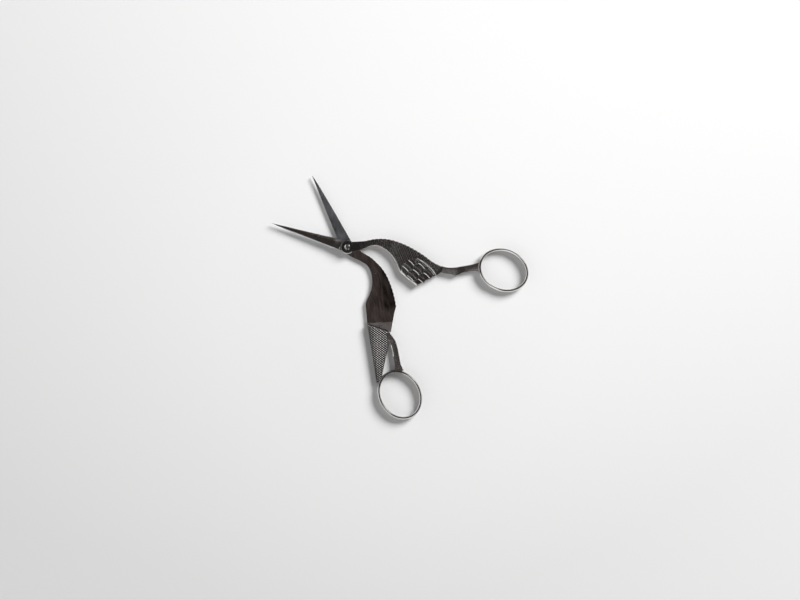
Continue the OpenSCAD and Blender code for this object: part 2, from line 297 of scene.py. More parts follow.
class Bird:
    """The closed bird's outlines, steps and rings in millimetres, all worked out from the sizes."""

    def __init__(self, mm):
        self.mm = mm
        self.inner = mm.slide_gap / 2
        self.crown = mm.half - mm.wing_lift - QUILL_HEIGHT
        reaches = {"front": mm.front_back, "back": mm.rear_back}
        self.lines = {half: BACK_SHARES * [mm.body_length, reach] for half, reach in reaches.items()}
        self.throat_line = THROAT_SHARES * [mm.wing_length, mm.throat]
        self.wing_corner = self.throat_line[-1]
        self.wing_tip = np.array([mm.wing_length, -mm.wing_reach])
        self.wing_end = np.array([mm.body_length - 1.8, -0.03 * mm.wing_reach])
        self.hip = np.array([mm.body_length, self.lines["front"][-1, 1] - 0.85 * mm.leg])
        self.back_step = np.array([
            [self.wing_tip[1] - 0.1, -self.wing_tip[0] - mm.seat_gap],
            [self.wing_end[1] + 0.3, -self.wing_end[0] - 1.1],
        ])
        lap = LAP_SHARE * mm.body_length
        lap_reach = through(self.lines["back"], np.array([lap]))[0] + mm.seat_gap
        self.front_step = (lap, lap_reach), (self.hip[0] - 1, self.hip[1] - 1.5)
        self.rings = {"front": self.ring(mm.front_lean, 1), "back": self.ring(-mm.back_lean, -1)}

    def ring(self, lean, side):
        """Centre and lean of the ring on one side: it just clears the other, and reaches the handle's end."""
        tall, wide = self.mm.ring_length / 2, self.mm.ring_width / 2
        reach = math.hypot(tall * math.sin(lean), wide * math.cos(lean))
        height = math.hypot(tall * math.cos(lean), wide * math.sin(lean))
        return (RINGS_MEET + side * self.mm.ring_gap / 2 + side * reach, height - self.mm.handle), lean

    def ring_point(self, half, turn, grow=0.0):
        """Point of a ring's middle oval, an ellipse turned by its lean, and moved out by grow."""
        centre, lean = self.rings[half]
        along = ((self.mm.ring_length - self.mm.ring_wall) / 2 + grow) * np.cos(turn)
        across = ((self.mm.ring_width - self.mm.ring_wall) / 2 + grow) * np.sin(turn)
        return np.stack([
            centre[0] + along * math.sin(lean) + across * math.cos(lean),
            centre[1] + along * math.cos(lean) - across * math.sin(lean),
        ], -1)

    def near(self, d):
        """Near outline: the throat's curve, the wing's straight front, its three tips and the hip's edge."""
        tips = straight(self.wing_tip, self.wing_end, d)
        place = (d - self.wing_tip[0]) / (self.wing_end[0] - self.wing_tip[0])
        return np.select(
            [d < self.wing_corner[0], d < self.wing_tip[0], d < self.wing_end[0]],
            [
                through(self.throat_line, d),
                straight(self.wing_corner, self.wing_tip, d),
                tips + 0.45 * np.abs(np.sin(3 * math.pi * place)),
            ],
            straight(self.wing_end, self.hip, d),
        )

    def far(self, d, half):
        """Far outline, the bird's back; the back half's stops short of the front half's step."""
        reach = through(self.lines[half], d)
        if half == "front":
            return reach
        return np.minimum(reach, straight(*self.front_step, d) - 1.2 * self.mm.seat_gap)

    def down_back(self, d, half):
        """Reach of the bird's back at each distance below the pivot, and the way run along it."""
        reach = through(self.lines[half], d[:, 0])
        run = np.concatenate([[0], np.cumsum(np.hypot(np.diff(d[:, 0]), np.diff(reach)))])
        return reach[:, None], run[:, None]


# Relief

def scales(along, across, mm):
    """Overlapping round scales in staggered rows: each rises to its round tip and hides the root of the next.

    A scale is a disc about its lattice point. Of the discs over a point the one nearest the head counts, and
    its height grows with the distance along it, falling off over its edge.
    """
    row_gap, radius = mm.scale_length / 2, 0.66 * mm.scale_width
    first = np.floor(along / row_gap)
    height, rim = np.zeros_like(along), np.zeros_like(along)
    for row in (first + 1, first, first - 1):
        shift = 0.5 * np.mod(row, 2) * mm.scale_width
        side = across - shift - mm.scale_width * np.round((across - shift) / mm.scale_width)
        down = along - row * row_gap
        away = np.hypot(side, down)
        here = (away < radius) & (down > -0.5 * radius)
        rise = 0.35 + 0.65 * smooth(0.5 + 0.5 * down / radius)
        drop = ramp(away, radius, -SCALE_EDGE)
        height = np.where(here, rise * drop * (1 - 0.35 * (side / radius) ** 2), height)
        rim = np.where(here, drop, rim)
    return height, rim


def feathers(s, t, mm):
    """Rows of wing feathers, along s and across t, each lying over the root of the next.

    A feather's height grows along it to a rounded tip. Across it, it rises steeply out of a cut groove at its
    near edge and falls gently to its far edge, with a thin shaft in the middle and slanting barbs beside it.
    Its edges bend down along it as a parabola. Gives the height, how clear of a groove it is, and the wear on
    its near edge and shaft, which is also a painted highlight.
    """
    tip, place = np.full_like(s, np.inf), np.zeros_like(s)
    for row in reversed(range(FEATHER_ROWS)):
        q = np.clip(s / mm.feather_length - row, 0, 1)
        f = (t - 0.2 - 1.1 * q + 1.45 * q**2 + 0.43 * row * mm.feather_width) / mm.feather_width
        f = f - np.floor(f)
        ends = (row + 1) * mm.feather_length - 0.9 * (2 * f - 1) ** 2
        tip, place = np.where(s < ends, ends, tip), np.where(s < ends, f, place)
    covered = np.isfinite(tip)
    part = np.where(covered, np.clip(1 - (tip - s) / mm.feather_length, 0, 1), 0)
    end = np.where(covered, tip - s, 9)
    near, far = place * mm.feather_width, (1 - place) * mm.feather_width
    shaft = hill(place, 0.5, 0.07)
    barbs = np.sin(2 * math.pi * (0.8 * s + 1.6 * np.abs(near - 0.5 * mm.feather_width)) / BARB_PITCH)
    across = FEATHER_GROOVE * smooth(near / 0.2) * smooth(far / 1.6 + 0.1)
    height = mm.feather_rise * part + SHAFT_HEIGHT * shaft + BARB_HEIGHT * barbs + across
    clear = ramp(near, -0.04, 0.1) * smooth(far / 0.35) * smooth(end / 0.6)
    # Wear on the raised near edge and the shaft, partly a painted highlight.
    worn = hill(near, 0.12, 0.12) + 0.5 * shaft
    return height * (0.55 + 0.45 * smooth(end / 0.7)), clear, worn * smooth(end / 0.4)


# The quill's place across the wing by the distance along it, and the wing's turn
QUILL_LINE = np.array([
    [-1, 5], [0.8, 6.5], [3.2, 7.5], [6, 8], [8.2, 8.12], [10.5, 8.08], [12.4, 7.75], [15, 6.8],
])
WING_TURN = math.radians(24.8)


def body_relief(bird, half, x, d):
    """Relief of the body: scales over back and breast, feathers and a bright quill on the wing.

    Returns height above the dome, hollow (1 in a groove) and ridge (1 on a worn edge or the quill, brightened
    partly as a painted highlight).
    """
    mm = bird.mm
    far, run = bird.down_back(d, half)
    lean = np.gradient(far[:, 0], d[:, 0])[:, None]
    cosine = 1 / np.sqrt(1 + lean**2)
    height, rim = scales(run - (far - x) * lean * cosine, (far - x) * cosine - 0.1, mm)
    fade = ramp(d, 3.2, 3.5) * ramp(d, 42.4, -1.6)
    scale_height = mm.scale_rise * height * fade
    scale_hollow = (1 - rim) * fade

    s, t = rotated(d - 0.6 * mm.body_length + 0.3, x + 1, WING_TURN)
    quill = through(QUILL_LINE, s)
    start = 0.085 * (t - 2.1) ** 2 - 0.4
    inside = ramp(s, start, 0.8) * smooth((quill - t) / 0.3 + 0.5)
    height, clear, edge = feathers(s, t, mm)
    grown = ramp(s, 1.8, 1.5)
    shaft, ditch = hill(t, quill, 0.15) * grown, hill(t - quill, -0.55, 0.22) * grown
    wing = mm.wing_lift * ramp(s, start, 3) + height * (1 - 0.6 * ditch) - DITCH_DEPTH * ditch
    total = np.maximum(inside * wing + (1 - inside) * scale_height, shaft * (mm.wing_lift + QUILL_HEIGHT))
    hollow = inside * (1 - clear) + (1 - inside) * scale_hollow + 0.8 * ditch * inside
    ridge = np.maximum(inside * edge, shaft)
    return total, np.clip(hollow, 0, 1), np.clip(ridge, 0, 1)


# Shells: points, faces, a material slot for each kind of face, and marks by name

def sheet(x, y, z):
    """Points of a surface from their coordinates."""
    return np.stack(np.broadcast_arrays(x, y, z), -1)


def cells(index):
    """Quads over a grid of point numbers."""
    return np.stack([index[:-1, :-1], index[1:, :-1], index[1:, 1:], index[:-1, 1:]], -1).reshape(-1, 4)


def border(index):
    """Point numbers once round a grid's border."""
    return np.concatenate([index[0, :-1], index[:-1, -1], index[-1, :0:-1], index[:0:-1, 0]])


def between(top, bottom, skins=(0, 0, 0), coarse=1, **marks):
    """Closed shell of two sheets of points with a wall round their common border.

    The lower sheet keeps only each coarse-th row and column, so a wall face has that many edges above and one
    below. skins are the material slots of top, bottom and wall, and marks are pairs of values, one a sheet.
    """
    shape = top.shape[:2]
    bottom = bottom[::coarse, ::coarse]
    index = np.arange(top.shape[0] * top.shape[1]).reshape(shape)
    low = index.size + np.arange(bottom.shape[0] * bottom.shape[1]).reshape(bottom.shape[:2])
    upper, lower = border(index), border(low)
    wall = [np.roll(upper, -step)[::coarse] for step in range(coarse + 1)]
    faces = [cells(index), cells(low)[:, ::-1], np.stack([*wall, np.roll(lower, -1), lower], -1)]
    points = np.concatenate([top.reshape(-1, 3), bottom.reshape(-1, 3)])
    values = {}
    for name, pair in marks.items():
        above, below = (np.broadcast_to(value, shape) for value in pair)
        values[name] = np.concatenate([above.ravel(), below[::coarse, ::coarse].ravel()])
    return points, faces, skins, values


def around(loops, **marks):
    """Closed shell of a profile carried round a closed path: loops[i, j] is profile point j at place i."""
    index = np.arange(loops.shape[0] * loops.shape[1]).reshape(loops.shape[:2])
    index = np.concatenate([index, index[:1]])
    index = np.concatenate([index, index[:, :1]], 1)
    return loops.reshape(-1, 3), [cells(index)], (0,), marks


def volume(points, faces):
    """Signed volume of a shell, from the triangles that fan out from each face's first corner."""
    total = 0
    for many in faces:
        corners = points[many]
        normal = np.cross(corners[:, 1:-1], corners[:, 2:])
        total += np.einsum("ij,ikj->", corners[:, 0], normal)
    return total / 6


def place(points, half, opening):
    """Points of a closed half, in millimetres with its inner face at 0, in metres in the shared frame.

    The half turns by half of the opening; the back half faces down.
    """
    flip = -1 if half == "back" else 1
    x, y = rotated(points[:, 0], points[:, 1], flip * opening / 2)
    return np.stack([x, y, 1000 * SLIDE_HEIGHT + flip * points[:, 2]], -1) / 1000


def make_piece(name, shells, half, opening, finishes, crease=38):
    """Makes one object from shells, turned outwards, rides it on its body and lets it stand for its node."""
    points, faces, skins = [], [], []
    # Marks on the mesh: hollow carries tarnish and painted shade, ridge carries wear and painted highlights, and
    # the third mark paints light and shade into the colour, with wear on some ridges.
    marks = {"hollow": [], "ridge": [], "rubbed": []}
    count = 0
    for shell_points, shell_faces, shell_skins, shell_marks in shells:
        placed = place(shell_points, half, opening)
        outwards = 1 if volume(placed, shell_faces) > 0 else -1
        points.append(placed)
        for many, skin in zip(shell_faces, shell_skins):
            faces += (many[:, ::outwards] + count).tolist()
            skins.append(np.full(len(many), skin))
        for key, values in marks.items():
            values.append(shell_marks.get(key, np.zeros(len(placed))))
        count += len(placed)
    mesh = bpy.data.meshes.new(name)
    mesh.from_pydata(np.concatenate(points).tolist(), [], faces)
    mesh.polygons.foreach_set("material_index", np.concatenate(skins).astype(np.int32))
    mesh.polygons.foreach_set("use_smooth", np.ones(len(faces), bool))
    for key, values in marks.items():
        data = mesh.attributes.new(key, "FLOAT", "POINT").data
        data.foreach_set("value", np.concatenate(values).astype(np.float32))
    for finish in finishes:
        mesh.materials.append(bpy.data.materials[finish])
    mesh.set_sharp_from_angle(angle=math.radians(crease))
    mesh.update()
    piece = bpy.data.objects.new(name, mesh)
    bpy.context.scene.collection.objects.link(piece)
    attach(piece, BODY[half])
    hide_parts(NODE[half])


# Shapes of the closed pair, in millimetres

def soft_min(values, blend):
    """Smallest of several surfaces, with the creases between them rounded over blend."""
    stack = np.stack(values)
    low = stack.min(0)
    return low - blend * np.log(np.exp(-(stack - low) / blend).sum(0)) + blend * 0.2


def shoulder(distance, wide):
    """Quarter-ellipse shoulder: 0 at the rim, 1 from wide inwards, rising as the root of 1 - (1 - d)²."""
    return np.sqrt(np.maximum(1 - np.clip(1 - distance / wide, 0, 1) ** 2, 0))


def from_boss(distance):
    """1 beside the boss, falling to 0 where a blade or a neck has come down from it."""
    return ramp(distance, 7.5, -4.5)


def under_recess(bird, x, y, z):
    """Keeps a surface below the floor of the screw's recess where it lies inside it."""
    floor = bird.mm.half - bird.mm.recess_depth - RECESS_CLEAR
    return np.where(np.hypot(x, y) < bird.mm.recess / 2 + 0.1, np.minimum(z, floor), z)


def blade_shells(bird, half):
    """A blade: at each place, the lowest of a fine bevel, a ground facet, a face and a slope along the spine.

    The half widths taper as powers of the length left, and the thickness falls evenly to the tip, but for the
    rise to the boss. The inner face is ground hollow by a few hundredths of a millimetre.
    """
    mm = bird.mm
    cut = 1 if half == "front" else -1
    heel, least = 1.0, 0.12
    s = np.linspace(0, 1, 200)[:, None] ** 0.9
    u = spread(96, 0.6)
    y = heel + (mm.blade_length - heel) * s
    left = (mm.blade_length - y) / (mm.blade_length - heel)
    to_boss = from_boss(y)
    notch = sum(hill(y, at, NOTCH_REACH) for at in NOTCHES)
    edge = np.maximum(mm.blade_width / 2 * left**0.9, least)
    spine = np.maximum(mm.blade_width / 2 * left**0.7, least) - 0.1 * notch
    wide = edge + spine
    bevel = np.minimum(mm.bevel, edge * 0.25)
    ridge = bevel + np.minimum(mm.facet * np.maximum(left, 0.05) ** 0.6, edge * 0.45)
    slope = np.minimum(mm.spine, spine * 0.3)
    from_edge, from_spine = wide * u, wide * (1 - u)
    top = mm.blade_heel + (mm.blade_tip - mm.blade_heel) * s
    at_bevel, at_ridge = top * (0.55 + 0.35 * to_boss), top * (0.75 + 0.25 * to_boss)
    at_spine = top + (mm.half - BOSS_STEP - top) * to_boss
    at_ridge = at_ridge + (at_spine - at_ridge) * 0.7 * to_boss
    fine = mm.edge + (at_bevel - mm.edge) * from_edge / bevel
    facet = at_bevel + (at_ridge - at_bevel) * (from_edge - bevel) / (ridge - bevel)
    face = at_ridge + (at_spine - at_ridge) * (from_edge - ridge) / (wide - slope - ridge)
    falling = at_spine * 0.55 + at_spine * 0.45 * from_spine / slope
    by_spine = ramp(from_spine, 1.9, -0.7)
    z = soft_min([fine, facet, face, falling], 0.012) - NOTCH_DEPTH * notch * by_spine
    x = cut * (edge - from_edge)
    z = under_recess(bird, x, y, np.maximum(z, mm.edge * 0.8))
    hollow_grind = 0.05 * (1 - (2 * u - 1) ** 2) * ramp(y, 6.5, 1.2) * np.sqrt(left)
    inside = bird.inner + np.minimum(hollow_grind, 0.4 * z)
    # Painted highlight and shade: the tone paints the ground facet lighter and the rest of the face darker.
    on_facet = smooth((ridge - from_edge) / 0.1 + 0.5)
    return [between(
        sheet(x, y, z), sheet(x, y, inside), (0, 1, 0),
        hollow=(0.7 * notch * by_spine, 0), rubbed=(0.45 * on_facet - 0.15, 0),
    )]


def boss_shells(bird, half):
    """A boss: a profile turned about the pivot as (r cos a, r sin a, z), with a bore and, in front, a recess.

    Its rim is rounded, and painted shade darkens it but for the side towards its neck, where it stays lit; the
    whole boss is painted darker too.
    """
    mm, low, high = bird.mm, bird.inner, bird.mm.half
    k = np.linspace(0, math.pi / 2, 12)
    outer, rounding = mm.boss / 2, mm.boss_rounding
    rim = np.stack([outer - rounding * (1 - np.cos(k)), high - rounding * (1 - np.sin(k))], -1)
    bore = mm.screw / 2 + (mm.turn_gap if half == "front" else 0.02)
    if half == "front":
        r, floor = mm.recess / 2, high - mm.recess_depth
        hole = [
            [r + 0.01, high], [r, high - 0.01], [r - 0.01, floor], [bore + 0.05, floor], [bore, floor - 0.05],
        ]
    else:
        hole = [[bore + 0.08, high], [bore, high - 0.08]]
    profile = np.concatenate([[[bore, low], [outer - 0.04, low], [outer, low + 0.04]], rim, hole])
    a = np.linspace(0, 2 * math.pi, 160, endpoint=False)[:, None]
    r, z = profile.T[:, None]
    x, y = r * np.cos(a), r * np.sin(a)
    # Painted shade: the tone darkens the whole boss, and the film mark darkens its rim but for the lit side
    # towards its neck.
    facing = np.cos(np.arctan2(y, x) - math.radians(205)).ravel()
    film = 0.75 * (1 - ramp(facing, 0.4, 0.5))
    return [around(sheet(x, y, z), rubbed=np.full(x.size, -0.35), hollow=film)]


# Painted dark reflection streaks down the flat inner face: the place across, the depth, and where each starts
# and stops
REFLECTION_STREAKS = ((0.54, 0.6, 15, 33), (0.34, 0.3, 17, 30), (0.7, 0.3, 22, 35), (0.43, 0.25, 20, 33))


def painted_flat_reflection(x, d, u):
    """Painted reflection on the flat inner face: dark streaks, faint stripes and a darker far side down the
    body, a bright strip along the step and a lighter neck.
    """
    stripes = np.sin(44 * u + 1.5 * np.sin(d / 4)) * np.sin(17 * u + d / 9)
    streak = sum(
        deep * hill(u - at - 0.004 * (d - 27), 0, 0.03) * ramp(d, start, 2) * ramp(d, stop, -2)
        for at, deep, start, stop in REFLECTION_STREAKS
    )
    reflection_tone = 0.14 - 0.62 * ramp(u, 0.55, 0.12) * ramp(d, 34, -3) + 0.12 * stripes - streak
    reflection_tone = np.maximum(reflection_tone, -0.8) * ramp(d, 12, 5) * ramp(d, 37.6, -1.5)
    return reflection_tone + (0.75 * smooth((d - 33.9 - 0.434 * (x + 6.7)) / 0.3) + 0.2 * ramp(d, 9, -3))


def body_shell(bird, half):
    """Neck, body and wing: a quarter-ellipse shoulder along both rims up to the crown, with the relief on it.

    The rows lie closer together on the body than on the neck.
    """
    mm = bird.mm
    last = mm.body_length if half == "front" else mm.body_length - 1
    d = np.concatenate([np.linspace(1, 18, 121)[:-1], np.linspace(18, last, 377)])[:, None]
    u = spread(177, 0.35)
    near = bird.near(d if half == "front" else np.minimum(d, bird.wing_end[0]))
    run = bird.down_back(d, half)[1]
    teeth = np.abs(np.cos(math.pi * run / mm.scale_length)) ** 1.5 * ramp(d, 5, 4) * ramp(d, 41, -2)
    wider = 0
    if half == "back":
        teeth = teeth * ramp(d, 33.5, -1.5)
        wider = (BACK_EXTRA + NECK_EXTRA * hill(d, 8, 2.5)) * ramp(d, 3, 3) * ramp(d, 36, -3)
    far = bird.far(d, half) + TOOTH_HEIGHT * teeth - 0.06 + wider
    x = near + (far - near) * u
    before_tips = ramp(d, bird.wing_tip[0] + 0.2, -0.6)
    wing_edge = ramp(d, 24, 3) * before_tips
    from_near, from_far = (x - near) / (1 + wing_edge), far - x
    crown = bird.crown + (mm.half - BOSS_STEP - bird.crown) * from_boss(d)
    rim = mm.rim + (crown - bird.crown) * 0.7
    dome = rim + (crown - rim) * shoulder(np.minimum(from_near, from_far), 0.4)
    dome = dome - 0.1 * wing_edge * (1 - smooth((x - near) / 0.7))
    lift, hollow, ridge = body_relief(bird, half, x, d)
    # Wear along both rims, brightened partly as a painted highlight.
    rim_wear_and_highlight = np.maximum(hill(from_near, 0, 0.25) * before_tips, hill(from_far, 0, 0.25))
    ridge = np.maximum(ridge, 0.9 * rim_wear_and_highlight * ramp(d, 8, 4))
    # A darker band along the near outline on the neck and past the wing's tips, through the film mark.
    film = hill(x, near, 0.5) * np.maximum(ramp(d, 10, -3), 1 - before_tips)
    hollow = np.maximum(hollow, 0.9 * film)
    z = under_recess(bird, x, -d, dome + lift * smooth(24 * u * (1 - u) + 0.2))
    # Painted light and shade: the tone brightens the worn edges and the quill on the wing as a painted
    # highlight, and paints the neck darker as shade.
    outside = 0.35 * ridge * ramp(d, 20, 4) - 0.4 * ramp(d, 13, -6)
    return between(
        sheet(x, -d, z), sheet(x, -d, bird.inner), (0, 1, 0), coarse=4,
        hollow=(hollow, 0), ridge=(ridge, 0), rubbed=(outside, painted_flat_reflection(x, d, u)),
    )


def thigh_shell(bird):
    """The front half's thigh past its step, of full thickness: a dome downwards from the step to the back."""
    mm = bird.mm
    d = np.linspace(35.15, mm.body_length, 60)[:, None]
    u = spread(48, 1)
    far = bird.far(d, "front") - 0.02
    near = np.minimum(np.maximum(straight(*bird.front_step, d), bird.near(d)), far - 0.05)
    deep = mm.rim / 2 + (mm.lap - mm.rim / 2) * 2 * np.sqrt(u * (1 - u))
    x = near + (far - near) * u
    return between(sheet(x, -d, 0.5), sheet(x, -d, -deep))


def bird_shells(bird, half):
    """A half's neck and body, and the front half's thigh."""
    body = body_shell(bird, half)
    return [body, thigh_shell(bird)] if half == "front" else [body]


def leg_shells(bird, half):
    """A leg swept along a line that bends most at the knee, a third of the way down.

    Its top is two slopes that meet in a ridge, which wanders across down the leg. The back half's has a short
    bevel along its near side, and its extra width starts below the hip, to clear the other half when closed.
    """
    mm, front = bird.mm, half == "front"
    if front:
        start, meets, bend = [bird.hip[1] + 0.4 * mm.leg, 1 - bird.hip[0]], -17.5, -mm.front_bend
    else:
        start, meets, bend = [-1.0, 1 - mm.body_length], 33, mm.back_bend
    start, end = np.array(start), bird.ring_point(half, math.radians(meets))
    s = np.linspace(0, 1, 110)[:, None]
    c = np.sin(math.pi / 2 * np.linspace(-1, 1, 41))[None]

    def middle(at):
        return start + (end - start) * at + np.concatenate([bend * 6.75 * at * (1 - at) ** 2, 0 * at], 1)

    way = middle(s + 0.01) - middle(s - 0.01)
    side = np.stack([-way[:, 1], way[:, 0]], -1) / np.linalg.norm(way, axis=1)[:, None]
    flare = np.maximum((s - 0.75) / 0.25, 0) ** 2
    clear = 1 if front else ramp(s, 0.05, 0.2)
    wide = mm.leg / 2 + LEG_EXTRA[half] * clear + flare * mm.foot
    bulge = (mm.knee if front else 0) * hill(s, 0.4, 0.1)
    across = wide * c - bulge * (1 - c) / 2 + LEG_SHIFT[half] * clear
    x, y = (middle(s)[:, i:i + 1] + side[:, i:i + 1] * across for i in (0, 1))
    ridge_at = through(np.array([[0, 0.7], [0.35, 0.5], [0.55, 0], [1, 0.2]]), s) * (1 if front else -0.8)
    steep = 0.2 if front else 0.1 - 0.08 * ramp(s, 0.72, 0.15)
    slope = steep * wide * np.sqrt((c - ridge_at) ** 2 + 0.01)
    edge = np.where(c < 0, 1, (1 - np.abs(c) ** 12 + 1e-9) ** 0.45)
    bevel = (0 if front else 0.9) * wide * np.clip(-c - 0.87, 0, 1) * ramp(s, 0.28, 0.1) * ramp(s, 0.63, -0.1)
    z = 0.3 + (mm.lap - 0.3) * edge - slope * edge - bevel
    # Painted light and shade: the tone lightens the whole leg, and on the front leg paints a band of shade
    # halfway down.
    tone = 0.3 - (0.45 if front else 0) * hill(s, 0.54, 0.08)
    return [between(sheet(x, y, z), sheet(x, y, -z), rubbed=(tone, tone))]


def tail_shells(bird, half):
    """The back half's knurled tail, from its step down to the ring: a shallow dome on both sides.

    The grooves of its knurling are cut into both domes, and nick its outer edge. The first rows of points,
    before the step, are buried in the body.
    """
    mm = bird.mm
    a, b = bird.back_step
    inward = np.array([b[1] - a[1], a[0] - b[0]])
    outer_end = bird.ring_point(half, math.radians(-39), 1.2)
    inner_end = bird.ring_point(half, math.radians(-26))
    fork = np.array([-3, -mm.body_length - 3.8])
    s = np.concatenate([[-1.6, -0.05, 0.0], np.linspace(0, 1, 300)[1:]])[:, None]
    down, buried = np.clip(s, 0, 1), s < -0.02
    back = -inward / np.linalg.norm(inward) * -np.minimum(s, 0)
    early, late = np.clip(down / 0.25, 0, 1), np.clip((down - 0.25) / 0.75, 0, 1)
    outer = a + (outer_end - a) * down + back
    inner = b + (fork - b) * early + (inner_end - fork) * late + back
    u = spread(96, 0.3)
    x, y = (outer[:, i:i + 1] + (inner - outer)[:, i:i + 1] * u for i in (0, 1))
    pattern, painted_lit_side = knurl(x, y, mm)
    fade = ramp(s, 0.002, 0.006) * ramp(down, 1.02, -0.04) * ramp(u, 1.0, -0.05)
    cut = KNURL_DEPTH * (pattern - 1) * fade
    x = x + KNURL_DEPTH * (pattern[:, :1] - 0.5) * fade[:, :1] * (1 - u) ** 8
    dome = 2 * np.sqrt(u * (1 - u))
    outside, inside = (mm.rim + (thick - mm.rim) * dome + cut * dome**0.3 for thick in (mm.tail, mm.lap))
    outside = np.where(buried, np.minimum(outside, 1.0), outside)
    inside = np.where(buried, -bird.inner - 0.2, inside)
    # Darker towards the outer edge and the lower end, through the film mark.
    darkened = 0.5 * smooth(1 - u / 0.45) + 0.35 * ramp(down, 0.5, 0.4)
    # Painted light and shade: one side of each knurl point is painted bright, the other darkened by the film
    # mark.
    hollow = np.clip(1 - painted_lit_side + darkened, 0, 1) * fade
    ridge = painted_lit_side * fade * (1 - darkened)
    # A painted highlight along the step on the inner face, which also clears the film there.
    step_edge = 0.6 * hill(s, 0.01, 0.02) * (s > -0.02) * (0.3 + 0.7 * u) * pattern
    return [between(
        sheet(x, y, outside), sheet(x, y, -inside), hollow=(hollow, hollow * (1 - step_edge)),
        ridge=(ridge, ridge), rubbed=(0, np.maximum(step_edge, 0.4 * ridge)),
    )]


def knurl(x, y, mm):
    """Diamond pattern from 0 in the grooves to 1 on the points: the lower of two waves |sin| that cross.

    Also gives the side of each point that is painted as lit: one side of each point.
    """
    axis, slant = math.radians(64), math.radians(37)
    first, second = (
        (x * math.cos(way) + y * math.sin(way)) / mm.knurl for way in (axis + slant, axis - slant)
    )
    painted_lit_side = ramp(np.sin(2 * math.pi * second), 0.15, 0.4)
    first, second = np.abs(np.sin(math.pi * first)), np.abs(np.sin(math.pi * second))
    return np.minimum(first, second), painted_lit_side * ramp(first, 0.55, 0.3)


def ring_shells(bird, half):
    """A finger ring: a rounded band carried round a leaning oval. The band's section is a superellipse.

    Where fingers wear it, at its end away from the blades and on the front half the far side too, its top
    slopes. Painted shade darkens it where the leg, and on the back half the tail, run into it.
    """
    mm = bird.mm
    turn = np.linspace(0, 2 * math.pi, 320, endpoint=False)
    here = bird.ring_point(half, turn)
    out = bird.ring_point(half, turn, 1) - here
    k = np.linspace(0, 2 * math.pi, 48, endpoint=False)
    c, s = np.cos(k), np.sin(k)
    across = mm.ring_wall / 2 * np.sign(c) * np.abs(c) ** np.where(c > 0, 0.85, 0.66)
    high = mm.ring_height / 2 * np.sign(s) * np.abs(s) ** np.where(c > 0, 0.48, 0.4)
    facing = np.arctan2(out[:, 1:], out[:, :1])
    end, side = hill(from_middle(facing, math.radians(172)), 0, 0.32), hill(from_middle(facing, 0), 0, 0.6)
    end_wear, side_wear = 0.42, 0.42 if half == "front" else 0.1
    worn = end_wear * end - side_wear * side
    high = high - worn * (across + mm.ring_wall / 2 * np.sign(worn)) * smooth(2 * s)
    x, y = (here[:, i:i + 1] + out[:, i:i + 1] * across for i in (0, 1))
    middle, reach = (-0.3, 0.5) if half == "front" else (0, 0.95)
    # Painted shade: the film mark darkens the ring where the leg, and on the back half the tail, run into it.
    film = 0.9 * ramp(np.abs(from_middle(turn, middle)), reach, -0.3)
    return [around(sheet(x, y, high), hollow=np.repeat(film, len(k)))]


def screw_shells(bird):
    """The screw: a round shank, and a domed head of straight strips, the middle ones let down as the slot."""
    mm = bird.mm
    under = mm.half - mm.recess_depth + HEAD_CLEAR
    r = mm.screw / 2
    a, b = np.meshgrid(np.linspace(-1, 1, 33), np.linspace(-1, 1, 33), indexing="ij")
    x, y = r * a * np.sqrt(1 - b**2 / 2), r * b * np.sqrt(1 - a**2 / 2)
    away = np.hypot(x, y)
    end = -mm.half + 0.06 * smooth((away - r + 0.06) / 0.06) + 0.03 * smooth((r - 0.3 - away) / 0.05)
    shank = between(sheet(x, y, under + 0.1), sheet(x, y, end))
    wide, half_slot = mm.head / 2, mm.slot / 2
    side = np.concatenate([
        -wide * np.cos(np.linspace(0.09, 1.39, 22)), [-half_slot - 0.05, -half_slot - 0.02, -half_slot],
    ])
    floor = np.linspace(-half_slot + 0.004, half_slot - 0.004, 7)
    strips = np.concatenate([side, floor, -side[::-1]])[:, None]
    v = np.sin(math.pi / 2 * np.linspace(-1, 1, 45))[None]
    x, y = strips + 0 * v, np.sqrt(wide**2 - strips**2) * v
    radius = np.minimum(np.hypot(x, y) / wide, 1)
    dome = mm.head_height * (0.18 + 0.82 * np.sqrt(np.maximum(1 - radius**2, 0)))
    in_slot = np.abs(x) < half_slot - 0.001
    chamfer = 0.04 * smooth((half_slot + 0.05 - np.abs(x)) / 0.05)
    top = under + np.where(in_slot, np.minimum(dome, mm.head_height - mm.slot_depth), dome - chamfer)
    x, y = rotated(x, y, mm.slot_turn - mm.opening / 2 + math.pi / 2)
    # Painted shade: the film mark darkens the slot and the side of the head turned away from its bright side.
    bright_side = 0.27
    facing = (x * math.cos(bright_side) + y * math.sin(bright_side)) / wide
    film = np.maximum(in_slot, 0.6 * smooth(0.5 - 1.2 * facing))
    return [shank, between(sheet(x, y, top), sheet(x, y, under), hollow=(film, 0))]


# Materials

def cleared(owner):
    """The emptied node tree of a material or a world."""
    owner.use_nodes = True
    owner.node_tree.nodes.clear()
    return owner.node_tree


def add(tree, kind, *values, inputs=None, **settings):
    """Adds a shader node with settings, links or sets its inputs in order or by name, and returns it."""
    node = tree.nodes.new("ShaderNode" + kind)
    for key, value in settings.items():
        setattr(node, key, value)
    for key, value in [*enumerate(values), *(inputs or {}).items()]:
        if isinstance(value, bpy.types.NodeSocket):
            tree.links.new(value, node.inputs[key])
        else:
            node.inputs[key].default_value = value
    return node


def maths(tree, operation, *values, clamp=False):
    """Output of a Math node."""
    return add(tree, "Math", *values, operation=operation, use_clamp=clamp).outputs[0]


def summed(tree, start, *terms, clamp=False):
    """start plus each term, a value and its weight; clamp keeps the sum from 0 to 1."""
    for number, (value, weight) in enumerate(terms, 1):
        start = maths(tree, "MULTIPLY_ADD", value, weight, start, clamp=clamp and number == len(terms))
    return start


